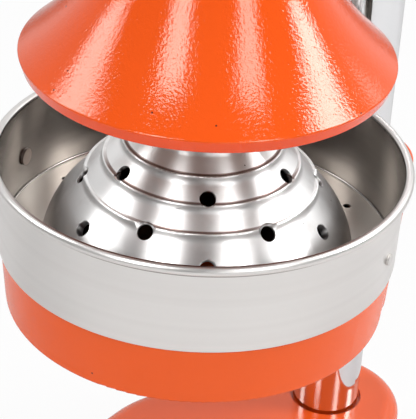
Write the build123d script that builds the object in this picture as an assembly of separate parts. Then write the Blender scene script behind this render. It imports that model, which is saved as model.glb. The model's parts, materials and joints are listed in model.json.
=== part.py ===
from build123d import *
import os
from math import acos, asin, atan2, ceil, cos, floor, pi, radians, sin, sqrt, tan

# Lever citrus press: a lever turns a pinion, which drives a toothed ram with a bell over a stepped cone.
# Millimetres, +Z up, +Y to the back, +X to the user's right. The origin is the middle of the footprint on the table.

# Stance
base_front_radius = 77.5
base_side_length = 55.0
base_corner_radius = 60.0
base_back_radius = 40.0
base_height = 28.0
base_edge_radius = 9.0
base_wall = 8.0
base_roof = 9.0
foot_height = 6.0
foot_radius = 13.0
foot_taper = 1.5
front_foot_x = 50.0
front_foot_before_press = 25.0
back_foot_x = 34.0
back_foot_before_column = 13.0
foot_boss_radius = 12.0
rim_above_base = 198.0
throat = 125.0

# Column and its bolt
column_radius = 17.5
column_socket_depth = 16.0
column_seat_thickness = 6.0
column_boss_wall = 12.0
column_gap_width = 1.6
column_gap_depth = 2.5
column_overshoot = 2.0
column_bolt_radius = 6.0
column_bolt_reach = 26.0
column_bolt_flats = 18.0
column_bolt_head = 7.0
column_washer_radius = 16.0
column_washer_thickness = 2.0
column_cap_height = 8.0
column_cap_edge = 4.0
column_cap_spigot_radius = 6.0
column_cap_spigot = 12.0

# Bowl casting
body_under_band = 1.0
body_draft = 2.3
body_height = 28.1
body_edge_radius = 1.5
body_wall = 5.0
underside_drop = 8.0
funnel_floor_thickness = 8.0
spout_boss_radius = 22.0
spout_boss_height = 10.0
hub_top_radius = 31.0
hub_foot_radius = 25.5
hub_height = 87.2
hub_below_body_top = 8.0
hub_edge_radius = 2.0
arm_width = 46.0
arm_below_body_top = 13.5
rib_thickness = 12.0
rib_above_hub_foot = 10.0
rib_rooting = 4.0

# Steel bowl
band_height = 40.7
band_top_radius = 88.9
band_flare = 0.9
sheet = 0.9
bead_radius = 2.05
bowl_corner_radius = 1.6
floor_hole_radius = 1.8
floor_hole_inset = 4.2
floor_hole_count = 6
floor_hole_turn = 32.0
rivet_shank_radius = 2.0
rivet_outer_head_radius = 2.6
rivet_inner_head_radius = 4.0
rivet_head_height = 1.2
rivet_below_rim = 24.5
rivet_turns = (103.0, -77.0)

# Press cone
bowl_trough = 19.9
cone_dome_run = 10.7
cone_dome_rise = 21.9
cone_dome_bulge = 1.7
first_lip_run = 17.6
first_lip_rise = 32.2
cone_foot_wall = 4.5
tier_run = 8.15
tier_rise = 9.0
tier_drop = 3.0
tier_ledge = 1.6
tier_hollow = 3.0
tier_count = 4
cone_cap_height = 8.1
cone_wall = 3.0
cone_spigot_inset = 9.2
cone_spigot_depth = 4.5
lip_radius = 0.7
drain_hole_radius = 3.5
drain_chamfer = 0.5
drain_hole_count = 6
drain_turn = 41.1
drain_rows = (
    {"lip": 2, "outwards": -2.9, "upwards": 2.0, "shift": 0.0},
    {"lip": 1, "outwards": 0.3, "upwards": -2.9, "shift": 0.5},
    {"lip": 1, "outwards": 7.95, "upwards": -11.1, "shift": 0.0},
)

# Juice spout
spout_outer_radius = 14.0
spout_inner_radius = 11.5
spout_collar_radius = 20.0
spout_collar_height = 4.0
spout_drop = 8.0
spout_top_recess = 1.0
gasket_thickness = 1.5

# Bell, measured up from its lower edge
bell_above_rim = 46.0
bell_brim_radius = 79.6
bell_brim_lean = 1.8
bell_brim_height = 5.5
bell_brim_edge = 0.9
bell_lower_edge = 0.6
bell_waist_radius = 53.0
bell_waist_height = 34.0
bell_neck_radius = 29.3
bell_neck_height = 79.0
bell_shoulder_height = 82.0
bell_wall = 7.0
bell_ceiling_height = 70.0
bell_boss_radius = 20.0
bell_boss_edge = 2.0
bell_boss_height = 94.0

# Ram and rack
ram_radius = 13.0
ram_spigot_radius = 8.0
rack_pitch_offset = 8.0
tooth_module = 2.5
pinion_teeth = 28
pressure_angle = 20.0
tooth_addendum = 2.25
tooth_dedendum = 3.0
tooth_backlash = 0.3
travel_up = 28.0
travel_down = 67.0
bell_stop_gap = 4.0
collar_stop_gap = 1.0
rack_end_clearance = 2.0
bell_washer_radius = 16.0
bell_washer_thickness = 2.0
bell_nut_flats = 24.0
bell_nut_height = 10.0
ram_spigot_end = 2.0
collar_radius = 21.0
collar_height = 12.0
ram_above_collar = 5.0
ram_top_chamfer = 1.5
collar_chamfer = 1.0
collar_screw_recess = 1.0

# Head casting
tower_radius = 24.0
drum_radius = 49.0
drum_half_width = 24.0
gear_cavity_radius = 41.0
gear_width = 14.0
gear_side_gap = 2.2
bridge_half_width = 20.0
bridge_below_axis = 30.0
bridge_above_axis = 34.0
head_hub_below_axis = 35.0
head_hub_above_axis = 40.0
ram_bore_clearance = 1.0
guide_bush_wall = 4.0
lower_bush_length = 20.0
upper_bush_length = 18.0
cover_thickness = 6.0
cover_chamfer = 1.5
cover_boss_radius = 20.0
cover_screw_radius = 2.0
cover_screw_head_radius = 3.6
cover_screw_head = 2.4
cover_screw_edge = 0.8
cover_screw_reach = 10.0
cover_screw_count = 6
cover_screw_turn = 30.0

# Pinion shaft and lever
shaft_radius = 9.0
shaft_bush_wall = 4.0
bush_flange_radius = 17.0
bush_flange = 2.0
axial_gap = 0.3
key_width = 5.0
key_height = 5.0
key_length = 12.0
shaft_washer_radius = 14.0
shaft_washer_thickness = 1.5
clip_thickness = 1.2
clip_radius = 13.0
clip_groove_radius = 7.5
clip_opening = 9.0
shaft_end_length = 3.5
shaft_chamfer = 1.0
lever_hub_radius = 20.0
lever_hub_width = 28.0
lever_hub_edge = 2.0
lever_lean = 10.0
lever_boss_radius = 12.0
lever_boss_height = 44.0
lever_arm_radius = 7.0
lever_arm_start = 13.2
lever_arm_end = 285.0
lever_pin_radius = 2.5
lever_pin_height = 30.0
grip_start = 180.0
grip_end = 300.0
grip_end_radius = 12.0
grip_swell_radius = 15.0
grip_edge = 4.0
ferrule_radius = 11.0
ferrule_length = 6.0
ferrule_chamfer = 1.0
hub_stud_radius = 5.0
hub_stud_length = 12.0
hub_washer_radius = 13.0
hub_washer_thickness = 2.0
hub_nut_flats = 17.0
hub_nut_height = 9.0
shaft_shoulder_relief = 0.5

# Small fasteners and fits
grub_radius = 4.0
grub_length = 8.0
grub_inset = 18.0
grub_socket_flats = 4.0
grub_socket_depth = 4.0
set_screw_radius = 3.0
set_screw_length = 9.0
foot_screw_radius = 2.4
foot_screw_head_radius = 4.6
foot_screw_head = 2.5
foot_screw_reach = 12.0
foot_recess = 3.5
foot_slot_width = 1.2
foot_slot_depth = 1.2
running_clearance = 0.05
close_clearance = 0.02
loose_clearance = 0.3
thread_clearance = 0.1
cut_over = 1.0

# Heights and places worked out from the sizes above
base_top = foot_height + base_height
rim_z = base_top + rim_above_base
bowl_reach = band_top_radius - sheet + 2 * bead_radius
band_bottom_radius = band_top_radius - band_flare
body_top_radius = band_bottom_radius - body_under_band
body_bottom_radius = body_top_radius - body_draft
press_y = (bowl_reach - throat - base_back_radius) / 2
column_y = press_y + throat
column_seat = base_top - column_socket_depth
column_boss_low = column_seat - column_seat_thickness
body_top = rim_z - band_height
body_bottom = body_top - body_height
spout_boss_top = body_bottom - underside_drop
spout_boss_low = spout_boss_top - spout_boss_height
hub_top = body_top - hub_below_body_top
hub_low = hub_top - hub_height
cup_inner_radius = body_bottom_radius - body_wall
floor_hole_circle = cup_inner_radius - floor_hole_inset
cone_foot_radius = band_top_radius - bowl_trough
cone_spigot_radius = cone_foot_radius - cone_spigot_inset
bell_edge_radius = bell_brim_radius - bell_brim_lean
spout_bore_radius = spout_outer_radius + thread_clearance
bowl_floor = body_top + sheet
bell_low = rim_z + bell_above_rim
bell_top = bell_low + bell_boss_height
bell_ceiling = bell_low + bell_ceiling_height
pitch_radius = tooth_module * pinion_teeth / 2
tooth_pitch = pi * tooth_module
tip_radius = pitch_radius + tooth_addendum
head_bottom = bell_top + travel_up + bell_stop_gap
pinion_z = head_bottom + drum_radius
pinion_y = press_y + rack_pitch_offset + pitch_radius
head_top = pinion_z + drum_radius
head_hub_low = pinion_z - head_hub_below_axis
head_hub_top = pinion_z + head_hub_above_axis
column_top = head_hub_top + column_overshoot
collar_low = head_top + travel_down + collar_stop_gap
collar_top = collar_low + collar_height
ram_top = collar_top + ram_above_collar
mesh_reach = sqrt(tip_radius**2 - (rack_pitch_offset + pitch_radius - ram_radius)**2) + rack_end_clearance
rack_low = pinion_z - travel_up - mesh_reach
rack_high = pinion_z + travel_down + mesh_reach
gear_half = gear_width / 2
cavity_half = gear_half + gear_side_gap
shaft_bush_radius = shaft_radius + shaft_bush_wall
guide_bush_radius = ram_radius + guide_bush_wall
cover_face = -(drum_half_width + cover_thickness)
left_flange_face = cover_face - bush_flange
right_flange_face = drum_half_width + bush_flange
lever_hub_left = right_flange_face + axial_gap
lever_hub_right = lever_hub_left + lever_hub_width
lever_x = lever_hub_left + lever_hub_width / 2
washer_right = left_flange_face - axial_gap
washer_left = washer_right - shaft_washer_thickness
clip_left = washer_left - clip_thickness
shaft_left = clip_left - shaft_end_length
shaft_right = lever_hub_right - shaft_shoulder_relief

STANDING = (Align.CENTER, Align.CENTER, Align.MIN)


def upright(radius, low, high, x=0.0, y=0.0):
    """Cylinder standing between two heights."""
    return Pos(x, y, low) * Cylinder(radius, high - low, align=STANDING)


def lying(radius, left, right, y=0.0, z=0.0):
    """Cylinder along X between two places."""
    return Pos(left, y, z) * Rot(0, 90, 0) * Cylinder(radius, right - left, align=STANDING)


def pointing_back(radius, front, back, x=0.0, z=0.0):
    """Cylinder along Y between two places."""
    return Pos(x, front, z) * Rot(-90, 0, 0) * Cylinder(radius, back - front, align=STANDING)


def block(x_span, y_span, z_span):
    """Box between pairs of coordinates."""
    size = [high - low for low, high in (x_span, y_span, z_span)]
    corner = Pos(x_span[0], y_span[0], z_span[0])
    return corner * Box(*size, align=(Align.MIN, Align.MIN, Align.MIN))


def hexagon(flats, low, high):
    """Upright hexagonal prism, given across its flats."""
    return Pos(0, 0, low) * extrude(RegularPolygon(flats / 2, 6, major_radius=False), high - low)


def turned(face):
    """Solid of revolution about Z from a face drawn as radius and height."""
    return revolve(Plane.XZ * face, Axis.Z)


def rounded(face, corners, radius):
    """Rounds the corners of a flat face that lie nearest to the given points."""
    picked = [face.vertices().sort_by_distance((x, y, 0))[0] for x, y in corners]
    return fillet(picked, radius)


def outline(*points):
    """Flat face with straight sides."""
    return make_face(Polyline(*points, close=True))


def group(pieces):
    """Several separate solids as one node."""
    whole = Part()
    for piece in pieces:
        whole += piece
    return whole


def round_press_axis(piece, turn=0.0):
    """Places a piece drawn about the origin on the press axis, turned from the front towards +X."""
    return Pos(0, press_y, 0) * Rot(0, 0, turn) * piece


def on_lever(piece):
    """Places a piece drawn with the shaft along X and the lever along Z."""
    return Pos(lever_x, pinion_y, pinion_z) * Rot(-lever_lean, 0, 0) * piece


def foot_places():
    front = press_y - front_foot_before_press
    back = column_y - back_foot_before_column
    return [(-front_foot_x, front), (front_foot_x, front), (-back_foot_x, back), (back_foot_x, back)]


def base_plan():
    """Outline of the base: round under the bowl, straight sides, then drawn in to a round end at the column."""
    front = base_front_radius
    bend = press_y + base_side_length
    reach = column_y - bend
    span = sqrt(front**2 + reach**2)
    turn = atan2(reach, -front) - asin(base_back_radius / span)
    run = sqrt(span**2 - base_back_radius**2)
    touch = (front + run * cos(turn), bend + run * sin(turn))
    sides = [
        ThreePointArc((-front, press_y), (0, press_y - front), (front, press_y)),
        Polyline((front, press_y), (front, bend), touch),
        ThreePointArc(touch, (0, column_y + base_back_radius), (-touch[0], touch[1])),
        Polyline((-touch[0], touch[1]), (-front, bend), (-front, press_y)),
    ]
    return rounded(make_face(sides), [(front, bend), (-front, bend)], base_corner_radius)


def make_base():
    floor_plan = base_plan()
    outer = extrude(Pos(0, 0, foot_height) * floor_plan, base_height)
    outer = fillet(outer.faces().sort_by(Axis.Z)[-1].edges(), base_edge_radius)
    inner_plan = offset(floor_plan, -base_wall)
    hollow = extrude(Pos(0, 0, foot_height) * inner_plan, base_height - base_roof)
    hollow -= upright(column_radius + column_boss_wall, column_boss_low, base_top, y=column_y)
    for x, y in foot_places():
        hollow -= upright(foot_boss_radius, foot_height, base_top, x, y)
    body = outer - hollow
    body -= upright(column_radius + close_clearance, column_seat, base_top + cut_over, y=column_y)
    gap_radius = column_radius + column_gap_width
    body -= upright(gap_radius, base_top - column_gap_depth, base_top + cut_over, y=column_y)
    bolt_hole = column_bolt_radius + loose_clearance
    body -= upright(bolt_hole, column_boss_low - cut_over, column_seat + cut_over, y=column_y)
    for x, y in foot_places():
        hole_top = foot_height + foot_screw_reach + cut_over
        body -= upright(foot_screw_radius + thread_clearance, foot_height - cut_over, hole_top, x, y)
    return body


def make_feet():
    hole = foot_screw_radius + loose_clearance
    recess = foot_screw_head_radius + loose_clearance
    foot = Cone(foot_radius - foot_taper, foot_radius, foot_height, align=STANDING)
    foot -= upright(hole, -cut_over, foot_height + cut_over)
    foot -= upright(recess, -cut_over, foot_recess)
    return group(Pos(x, y, 0) * foot for x, y in foot_places())


def make_foot_screws():
    screw = upright(foot_screw_head_radius, foot_recess - foot_screw_head, foot_recess)
    screw += upright(foot_screw_radius, foot_recess, foot_height + foot_screw_reach)
    slot_low = foot_recess - foot_screw_head
    reach = foot_screw_head_radius
    half = foot_slot_width / 2
    screw -= block((-reach, reach), (-half, half), (slot_low, slot_low + foot_slot_depth))
    return group(Pos(x, y, 0) * screw for x, y in foot_places())


def make_column():
    bar = upright(column_radius, column_seat, column_top, y=column_y)
    bolt_hole = column_bolt_radius + thread_clearance
    bar -= upright(bolt_hole, column_seat - cut_over, column_seat + column_bolt_reach + cut_over, y=column_y)
    cap_hole = column_cap_spigot_radius + close_clearance
    bar -= upright(cap_hole, column_top - column_cap_spigot - cut_over, column_top + cut_over, y=column_y)
    return bar


def make_column_bolt():
    head_top = column_boss_low - column_washer_thickness
    bolt = hexagon(column_bolt_flats, head_top - column_bolt_head, head_top)
    bolt += upright(column_bolt_radius, head_top, column_seat + column_bolt_reach)
    return Pos(0, column_y, 0) * bolt


def make_column_washer():
    low = column_boss_low - column_washer_thickness
    washer = upright(column_washer_radius, low, column_boss_low)
    washer -= upright(column_bolt_radius + loose_clearance, low - cut_over, column_boss_low + cut_over)
    return Pos(0, column_y, 0) * washer


def make_column_cap():
    cap = upright(column_radius, column_top, column_top + column_cap_height)
    cap = fillet(cap.faces().sort_by(Axis.Z)[-1].edges(), column_cap_edge)
    cap += upright(column_cap_spigot_radius, column_top - column_cap_spigot, column_top)
    return Pos(0, column_y, 0) * cap


def grub_heights(low, top):
    return (low + grub_inset, top - grub_inset)


def grub_holes(low, top, hub_radius):
    """Radial holes for the grub screws at the back of a hub."""
    back = column_y + hub_radius + cut_over
    hole = grub_radius + close_clearance
    return group(pointing_back(hole, column_y, back, z=z) for z in grub_heights(low, top))


def make_grub_screws(low, top):
    screw = upright(grub_radius, 0, grub_length)
    screw -= hexagon(grub_socket_flats, grub_length - grub_socket_depth, grub_length + cut_over)
    start = column_y + column_radius + close_clearance
    return group(Pos(0, start, z) * Rot(-90, 0, 0) * screw for z in grub_heights(low, top))


def make_bowl_casting():
    cup = outline(
        (0, spout_boss_low),
        (spout_boss_radius, spout_boss_low),
        (spout_boss_radius, spout_boss_top),
        (body_bottom_radius, body_bottom),
        (body_top_radius, body_top),
        (0, body_top),
    )
    cup = rounded(cup, [(body_bottom_radius, body_bottom)], body_edge_radius)
    funnel_low = spout_boss_top + funnel_floor_thickness
    funnel_high = body_bottom + funnel_floor_thickness
    inside = outline(
        (0, spout_boss_low - cut_over),
        (spout_bore_radius, spout_boss_low - cut_over),
        (spout_bore_radius, funnel_low),
        (cup_inner_radius, funnel_high),
        (cup_inner_radius, body_top + cut_over),
        (0, body_top + cut_over),
    )
    arm_top = body_top - arm_below_body_top
    arm_span = (press_y + cup_inner_radius, column_y)
    arm = block((-arm_width / 2, arm_width / 2), arm_span, (body_bottom, arm_top))
    rib_foot = hub_low + rib_above_hub_foot
    rib = Plane.YZ * outline(
        (press_y + spout_boss_radius, spout_boss_top + rib_rooting / 4),
        (press_y + spout_boss_radius, body_bottom + rib_rooting),
        (column_y, body_bottom + rib_rooting),
        (column_y, rib_foot),
        (column_y - hub_foot_radius / 2, rib_foot),
    )
    rib = Pos(-rib_thickness / 2, 0, 0) * extrude(rib, rib_thickness, dir=(1, 0, 0))
    hub = Cone(hub_foot_radius, hub_top_radius, hub_height, align=STANDING)
    hub = fillet(hub.edges().filter_by(GeomType.CIRCLE), hub_edge_radius)
    hub = Pos(0, column_y, hub_low) * hub
    casting = round_press_axis(turned(cup)) + arm + rib + hub
    casting -= round_press_axis(turned(inside))
    bore = column_radius + close_clearance
    casting -= upright(bore, hub_low - cut_over, hub_top + cut_over, y=column_y)
    casting -= grub_holes(hub_low, hub_top, hub_top_radius)
    return casting


def make_steel_bowl():
    hole_radius = cone_spigot_radius + loose_clearance
    wall = outline(
        (hole_radius, body_top),
        (band_bottom_radius, body_top),
        (band_top_radius, rim_z),
        (band_top_radius - sheet, rim_z),
        (band_bottom_radius - sheet, bowl_floor),
        (hole_radius, bowl_floor),
    )
    wall = rounded(wall, [(band_bottom_radius, body_top)], bowl_corner_radius)
    bowl = turned(wall)
    bead_centre = band_top_radius - sheet + bead_radius
    bowl += Pos(0, 0, rim_z) * Torus(bead_centre, bead_radius)
    for index in range(floor_hole_count):
        turn = floor_hole_turn + index * 360 / floor_hole_count
        hole = upright(floor_hole_radius, body_top - cut_over, bowl_floor + cut_over, y=-floor_hole_circle)
        bowl -= Rot(0, 0, turn) * hole
    for turn in rivet_turns:
        reach = (cone_foot_radius, band_top_radius + bead_radius)
        hole = pointing_back(rivet_shank_radius, -reach[1], -reach[0], z=rim_z - rivet_below_rim)
        bowl -= Rot(0, 0, turn) * hole
    return round_press_axis(bowl)


def make_bowl_rivets():
    drop = rivet_below_rim / band_height
    wall_outside = band_top_radius + (band_bottom_radius - band_top_radius) * drop
    wall_inside = wall_outside - sheet
    rivet = pointing_back(rivet_shank_radius, -wall_outside, -wall_inside)
    rivet += pointing_back(rivet_outer_head_radius, -wall_outside - rivet_head_height, -wall_outside)
    rivet += pointing_back(rivet_inner_head_radius, -wall_inside, -wall_inside + rivet_head_height)
    rivet = Pos(0, 0, rim_z - rivet_below_rim) * rivet
    return group(round_press_axis(rivet, turn) for turn in rivet_turns)


def lip(index):
    """Radius and height of a tier's outer lip, counted up from the dome at the foot."""
    radius = cone_foot_radius - first_lip_run - (index - 1) * tier_run
    return (radius, bowl_floor + first_lip_rise + (index - 1) * tier_rise)


def make_press_cone():
    foot = Vector(cone_foot_radius, bowl_floor)
    lips = [lip(index) for index in range(1, tier_count + 1)]
    hollows = [(radius, height - tier_drop) for radius, height in lips]
    dome_top = Vector(cone_foot_radius - cone_dome_run, bowl_floor + cone_dome_rise)
    chord = dome_top - foot
    outwards = Vector(chord.Y, -chord.X).normalized()
    dome_middle = (foot + dome_top) / 2 + outwards * cone_dome_bulge
    dome = ThreePointArc(foot, dome_middle, dome_top)
    steps = [(dome_top.X, dome_top.Y)]
    for hollow, (radius, height) in zip(hollows, lips):
        steps += [hollow, (radius, height), (radius - tier_ledge, height)]
    last_radius, last_height = steps[-1]
    cap_top = last_height + cone_cap_height
    cap_sphere = (last_radius**2 + cone_cap_height**2) / (2 * cone_cap_height)
    cap_middle = (last_radius / 2, cap_top - cap_sphere + sqrt(cap_sphere**2 - last_radius**2 / 4))
    slant = cone_wall * sqrt(tier_run**2 + tier_rise**2) / tier_rise
    ceiling = last_height - tier_drop
    knee_radius = cone_foot_radius - cone_foot_wall
    flange_top = bowl_floor + cone_wall
    spigot_inner = cone_spigot_radius - cone_wall
    spigot_low = bowl_floor - cone_spigot_depth
    sides = Polyline(*steps)
    cap = ThreePointArc((last_radius, last_height), cap_middle, (0, cap_top))
    inside = Polyline(
        (0, cap_top),
        (0, ceiling),
        (hollows[-1][0] - slant, ceiling),
        (hollows[0][0] - slant, hollows[0][1]),
        (dome_top.X - slant, dome_top.Y),
        (knee_radius, flange_top),
        (spigot_inner, flange_top),
        (spigot_inner, spigot_low),
        (cone_spigot_radius, spigot_low),
        (cone_spigot_radius, bowl_floor),
        (cone_foot_radius, bowl_floor),
    )
    section = rounded(make_face([dome, sides, cap, inside]), lips, lip_radius)
    cone = turned(rounded(section, hollows, tier_hollow))
    spacing = 360 / drain_hole_count
    drill = turned(outline(
        (0, -cone_wall * 3),
        (drain_hole_radius, -cone_wall * 3),
        (drain_hole_radius, -drain_chamfer),
        (drain_hole_radius + cone_wall, cone_wall - drain_chamfer),
        (0, cone_wall - drain_chamfer),
    ))
    drills = []
    for row in drain_rows:
        radius, height = lip(row["lip"])
        place = Pos(0, -(radius + row["outwards"]), height + row["upwards"]) * Rot(45, 0, 0)
        for count in range(drain_hole_count):
            drills.append(Rot(0, 0, drain_turn + (count + row["shift"]) * spacing) * place * drill)
    return round_press_axis(cone - drills)


def make_juice_spout():
    collar_top = spout_boss_low - gasket_thickness
    collar_low = collar_top - spout_collar_height
    tube_top = spout_boss_top + funnel_floor_thickness - spout_top_recess
    spout = upright(spout_outer_radius, collar_low - spout_drop, tube_top)
    spout += upright(spout_collar_radius, collar_low, collar_top)
    spout -= upright(spout_inner_radius, collar_low - spout_drop - cut_over, tube_top + cut_over)
    return round_press_axis(spout)


def make_spout_gasket():
    low = spout_boss_low - gasket_thickness
    gasket = upright(spout_collar_radius, low, spout_boss_low)
    gasket -= upright(spout_outer_radius + thread_clearance, low - cut_over, spout_boss_low + cut_over)
    return round_press_axis(gasket)


def bell_curve_centre():
    """Centre and radius of the circle through the brim, the waist and the neck of the bell."""
    x1, y1 = bell_brim_radius, bell_brim_height
    x2, y2 = bell_waist_radius, bell_waist_height
    x3, y3 = bell_neck_radius, bell_neck_height
    cross = 2 * (x1 * (y2 - y3) + x2 * (y3 - y1) + x3 * (y1 - y2))
    s1, s2, s3 = x1**2 + y1**2, x2**2 + y2**2, x3**2 + y3**2
    centre_x = (s1 * (y2 - y3) + s2 * (y3 - y1) + s3 * (y1 - y2)) / cross
    centre_y = (s1 * (x3 - x2) + s2 * (x1 - x3) + s3 * (x2 - x1)) / cross
    return centre_x, centre_y, sqrt((x1 - centre_x)**2 + (y1 - centre_y)**2)


def bell_inner_radius(height, inset):
    """Radius of the bell's inside at a height, inset from its outer curve."""
    centre_x, centre_y, radius = bell_curve_centre()
    return centre_x - sqrt((radius + inset)**2 - (height - centre_y)**2)


def inner_curve(low, high, inset):
    """Points of the inside curve, from low to high."""
    heights = (low, (low + high) / 2, high)
    return [(bell_inner_radius(height, inset), height) for height in heights]


def make_press_bell():
    low_in, mid_in, high_in = inner_curve(0, bell_ceiling_height, bell_wall)
    flare = ThreePointArc(
        (bell_brim_radius, bell_brim_height),
        (bell_waist_radius, bell_waist_height),
        (bell_neck_radius, bell_neck_height),
    )
    crown = Polyline(
        (bell_neck_radius, bell_neck_height),
        (bell_neck_radius, bell_shoulder_height),
        (bell_boss_radius, bell_shoulder_height),
        (bell_boss_radius, bell_boss_height),
        (0, bell_boss_height),
        (0, bell_ceiling_height),
        high_in,
    )
    inside = ThreePointArc(high_in, mid_in, low_in)
    edge = Polyline(low_in, (bell_edge_radius, 0), (bell_brim_radius, bell_brim_height))
    section = make_face([flare, crown, inside, edge])
    section = rounded(section, [(bell_boss_radius, bell_boss_height)], bell_boss_edge)
    section = rounded(section, [(bell_brim_radius, bell_brim_height)], bell_brim_edge)
    section = rounded(section, [(bell_edge_radius, 0)], bell_lower_edge)
    bell = turned(section)
    bell -= upright(ram_spigot_radius + thread_clearance, 0, bell_boss_height + cut_over)
    return Pos(0, press_y, bell_low) * bell


def make_bell_washer():
    low = bell_ceiling - bell_washer_thickness
    washer = upright(bell_washer_radius, low, bell_ceiling)
    washer -= upright(ram_spigot_radius + loose_clearance, low - cut_over, bell_ceiling + cut_over)
    return round_press_axis(washer)


def make_bell_nut():
    top = bell_ceiling - bell_washer_thickness
    nut = hexagon(bell_nut_flats, top - bell_nut_height, top)
    nut -= upright(ram_spigot_radius + thread_clearance, top - bell_nut_height - cut_over, top + cut_over)
    return round_press_axis(nut)


def make_ram_rack():
    ram = upright(ram_radius, bell_top, ram_top)
    ram = chamfer(ram.faces().sort_by(Axis.Z)[-1].edges(), ram_top_chamfer)
    spigot_low = bell_ceiling - bell_washer_thickness - bell_nut_height - ram_spigot_end
    ram += upright(ram_spigot_radius, spigot_low, bell_top)
    reach = ram_radius + cut_over
    tip = rack_pitch_offset + tooth_addendum
    ram -= block((-reach, reach), (tip, reach), (rack_low, rack_high))
    slope = tan(radians(pressure_angle))
    pitch_gap = tooth_pitch / 2 + tooth_backlash
    root_half = pitch_gap / 2 - tooth_dedendum * slope
    mouth = tooth_addendum + cut_over
    mouth_half = pitch_gap / 2 + mouth * slope
    gap = Plane.YZ * outline(
        (rack_pitch_offset - tooth_dedendum, -root_half),
        (rack_pitch_offset - tooth_dedendum, root_half),
        (rack_pitch_offset + mouth, mouth_half),
        (rack_pitch_offset + mouth, -mouth_half),
    )
    gap = Pos(-reach, 0, 0) * extrude(gap, 2 * reach, dir=(1, 0, 0))
    first = ceil((rack_low + mouth_half - pinion_z) / tooth_pitch)
    last = floor((rack_high - mouth_half - pinion_z) / tooth_pitch)
    for index in range(first, last + 1):
        ram -= Pos(0, 0, pinion_z + index * tooth_pitch) * gap
    return round_press_axis(ram)


def make_stop_collar():
    collar = upright(collar_radius, collar_low, collar_top)
    collar = chamfer(collar.edges().filter_by(GeomType.CIRCLE), collar_chamfer)
    collar -= upright(ram_radius + close_clearance, collar_low - cut_over, collar_top + cut_over)
    middle = (collar_low + collar_top) / 2
    collar -= pointing_back(set_screw_radius + close_clearance, -collar_radius - cut_over, 0, z=middle)
    return round_press_axis(collar)


def set_screw(length):
    screw = upright(set_screw_radius, 0, length)
    socket_flats = set_screw_radius
    return screw - hexagon(socket_flats, length - set_screw_radius, length + cut_over)


def make_stop_collar_screw():
    middle = (collar_low + collar_top) / 2
    length = collar_radius - ram_radius - collar_screw_recess
    screw = Rot(90, 0, 0) * set_screw(length)
    return round_press_axis(Pos(0, -ram_radius - close_clearance, middle) * screw)


def cover_screw_places():
    circle = (gear_cavity_radius + drum_radius) / 2
    turns = [radians(cover_screw_turn + index * 360 / cover_screw_count) for index in range(cover_screw_count)]
    return [(pinion_y + circle * cos(turn), pinion_z + circle * sin(turn)) for turn in turns]


def make_head_casting():
    tower = upright(tower_radius, head_bottom, head_top, y=press_y)
    drum = lying(drum_radius, -drum_half_width, drum_half_width, pinion_y, pinion_z)
    bridge_heights = (pinion_z - bridge_below_axis, pinion_z + bridge_above_axis)
    bridge = block((-bridge_half_width, bridge_half_width), (pinion_y, column_y), bridge_heights)
    hub = upright(hub_top_radius, head_hub_low, head_hub_top, y=column_y)
    hub = fillet(hub.edges().filter_by(GeomType.CIRCLE), hub_edge_radius)
    head = tower + drum + bridge + hub
    head -= lying(gear_cavity_radius, -drum_half_width - cut_over, cavity_half, pinion_y, pinion_z)
    head -= upright(ram_radius + ram_bore_clearance, head_bottom - cut_over, head_top + cut_over, y=press_y)
    pocket = guide_bush_radius + close_clearance
    head -= upright(pocket, head_bottom - cut_over, head_bottom + lower_bush_length, y=press_y)
    head -= upright(pocket, head_top - upper_bush_length, head_top + cut_over, y=press_y)
    bush_hole = shaft_bush_radius + close_clearance
    head -= lying(bush_hole, 0, drum_half_width + cut_over, pinion_y, pinion_z)
    bore = column_radius + close_clearance
    head -= upright(bore, head_hub_low - cut_over, head_hub_top + cut_over, y=column_y)
    head -= grub_holes(head_hub_low, head_hub_top, hub_top_radius)
    for y, z in cover_screw_places():
        hole_end = -drum_half_width + cover_screw_reach + cut_over
        head -= lying(cover_screw_radius + thread_clearance, -drum_half_width - cut_over, hole_end, y, z)
    return head


def make_gear_cover():
    cover = lying(drum_radius, cover_face, -drum_half_width, pinion_y, pinion_z)
    cover = chamfer(cover.faces().sort_by(Axis.X)[0].edges(), cover_chamfer)
    cover += lying(cover_boss_radius, -drum_half_width, -cavity_half, pinion_y, pinion_z)
    bush_hole = shaft_bush_radius + close_clearance
    cover -= lying(bush_hole, cover_face - cut_over, 0, pinion_y, pinion_z)
    for y, z in cover_screw_places():
        hole = cover_screw_radius + loose_clearance
        cover -= lying(hole, cover_face - cut_over, -drum_half_width + cut_over, y, z)
    return cover


def make_gear_cover_screws():
    head_face = cover_face - cover_screw_head
    shank_end = -drum_half_width + cover_screw_reach
    screw = lying(cover_screw_head_radius, head_face, cover_face)
    screw = fillet(screw.faces().sort_by(Axis.X)[0].edges(), cover_screw_edge)
    screw += lying(cover_screw_radius, cover_face, shank_end)
    socket_depth = cover_screw_head / 2
    socket = Pos(head_face - cut_over, 0, 0) * Rot(0, 90, 0)
    screw -= socket * hexagon(cover_screw_radius * 1.25, 0, socket_depth + cut_over)
    return group(Pos(0, y, z) * screw for y, z in cover_screw_places())


def make_guide_bush(low, high):
    bush = upright(guide_bush_radius, low, high)
    bush -= upright(ram_radius + running_clearance, low - cut_over, high + cut_over)
    return round_press_axis(bush)


def make_shaft_bush(flange_span, sleeve_span):
    bush = lying(bush_flange_radius, *flange_span) + lying(shaft_bush_radius, *sleeve_span)
    low = min(flange_span[0], sleeve_span[0]) - cut_over
    high = max(flange_span[1], sleeve_span[1]) + cut_over
    bush -= lying(shaft_radius + running_clearance, low, high)
    return Pos(0, pinion_y, pinion_z) * bush


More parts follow.
